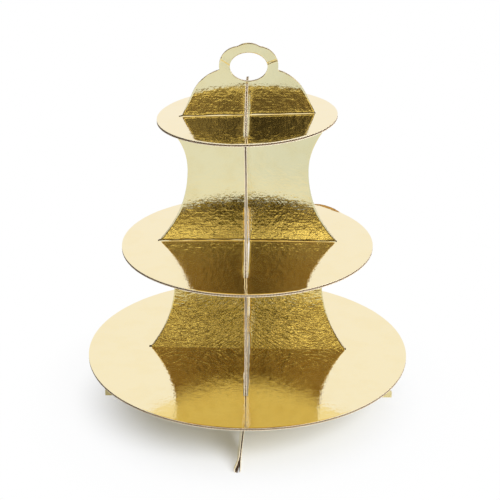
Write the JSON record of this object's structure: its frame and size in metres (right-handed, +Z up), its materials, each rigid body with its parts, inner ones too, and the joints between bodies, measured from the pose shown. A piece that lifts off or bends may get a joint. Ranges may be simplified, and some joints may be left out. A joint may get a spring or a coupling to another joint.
{
  "type": "tiered cake stand",
  "caption": "Flat-pack cake stand: round foil board plates on two crossing die-cut panels, with a scalloped ring handle.",
  "frame": {"origin": "on the surface the feet stand on, under the line where the two panels cross", "axes": "+Z up; the handle panel lies in the XZ plane and the cross panel in the YZ plane; the front faces -Y"},
  "size_m": [0.3, 0.3, 0.3489],
  "materials": {
    "gold_foil": "mirror-gold metallised film on paperboard, with a fine orange-peel texture",
    "fluting": "brown recycled fluting paper, matt, dark between the flutes"
  },
  "bodies": {
    "cross_panel": {"cross_panel_core": "fluting", "cross_panel_left_liner": "gold_foil", "cross_panel_right_liner": "gold_foil"},
    "handle_panel": {"handle_panel_core": "fluting", "handle_panel_front_liner": "gold_foil", "handle_panel_back_liner": "gold_foil"},
    "bottom_plate": {"bottom_plate_core": "fluting", "bottom_plate_top_liner": "gold_foil", "bottom_plate_under_liner": "gold_foil"},
    "middle_plate": {"middle_plate_core": "fluting", "middle_plate_top_liner": "gold_foil", "middle_plate_under_liner": "gold_foil"},
    "top_plate": {"top_plate_core": "fluting", "top_plate_top_liner": "gold_foil", "top_plate_under_liner": "gold_foil"}
  },
  "joints": [
    {"name": "handle_panel_lift", "type": "slide", "parent": "cross_panel", "child": "handle_panel", "axis": [0, 0, 1], "range_m": [0, 0.32]},
    {"name": "bottom_plate_lift", "type": "slide", "parent": "handle_panel", "child": "bottom_plate", "axis": [0, 0, 1], "range_m": [0, 0.305]},
    {"name": "middle_plate_lift", "type": "slide", "parent": "bottom_plate", "child": "middle_plate", "axis": [0, 0, 1], "range_m": [0, 0.195]},
    {"name": "top_plate_lift", "type": "slide", "parent": "middle_plate", "child": "top_plate", "axis": [0, 0, 1], "range_m": [0, 0.075]}
  ]
}
